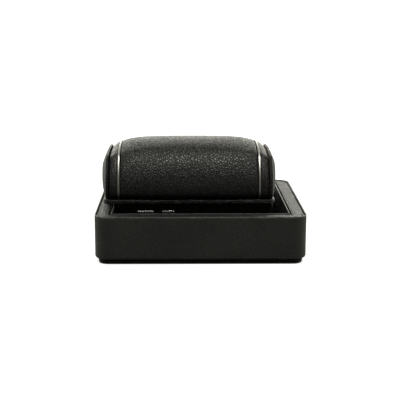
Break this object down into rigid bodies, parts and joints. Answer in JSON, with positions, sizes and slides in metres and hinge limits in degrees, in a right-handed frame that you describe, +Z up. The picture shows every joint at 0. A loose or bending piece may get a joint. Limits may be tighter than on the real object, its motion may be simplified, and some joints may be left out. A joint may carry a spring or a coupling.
{
  "type": "jewellery display tray",
  "caption": "Leather-wrapped jewellery tray with a lined well, a pedestal, and a padded watch and bracelet cuff that lifts off it.",
  "frame": {"origin": "centre of the footprint on the surface the case stands on", "axes": "+Z up, +X to the viewer's right along the cuff, -Y towards the viewer"},
  "size_m": [0.13, 0.115, 0.0691],
  "materials": {
    "felt": "dense felt",
    "base_paint": "satin black paint on board",
    "screw_steel": "plated wood screws",
    "fibreboard": "bare fibreboard",
    "smooth_leather": "fine smooth black leatherette",
    "grained_leather": "pebble-grained black leatherette",
    "liner_board": "black leatherette on thin board, burnished edge",
    "suede": "black microsuede",
    "bright_metal": "polished",
    "brass": "turned",
    "core_plastic": "moulded, black",
    "foam": "open-cell foam",
    "spacer_board": "black"
  },
  "bodies": {
    "case": {"base_felt": "felt", "base_board": "base_paint", "base_screws": "screw_steel", "carcass_front": "fibreboard", "carcass_back": "fibreboard", "carcass_left": "fibreboard", "carcass_right": "fibreboard", "case_wrap": "smooth_leather", "collar_board": "fibreboard", "collar_wrap": "grained_leather", "liner_front": "liner_board", "liner_back": "liner_board", "liner_left": "liner_board", "liner_right": "liner_board", "floor_board": "fibreboard", "floor_suede": "suede", "pedestal_frame": "fibreboard", "pedestal_top": "fibreboard", "pedestal_wrap": "smooth_leather", "pedestal_screws": "screw_steel", "peg_sockets": "brass", "nameplate_left": "bright_metal", "nameplate_right": "bright_metal"},
    "cuff": {"saddle_board": "fibreboard", "saddle_wrap": "grained_leather", "saddle_screws": "screw_steel", "locating_pegs": "brass", "cuff_core": "core_plastic", "cushion_foam": "foam", "cushion_cover": "grained_leather", "trim_left": "bright_metal", "trim_right": "bright_metal", "bolster_left": "grained_leather", "bolster_right": "grained_leather", "spacer_left": "spacer_board", "spacer_right": "spacer_board", "end_screws": "screw_steel", "cap_board_left": "fibreboard", "cap_board_right": "fibreboard", "end_cap_left": "grained_leather", "end_cap_right": "grained_leather"}
  },
  "joints": [
    {"name": "cuff_lift", "type": "slide", "parent": "case", "child": "cuff", "axis": [0, 0, 1], "range_m": [0, 0.08]}
  ]
}
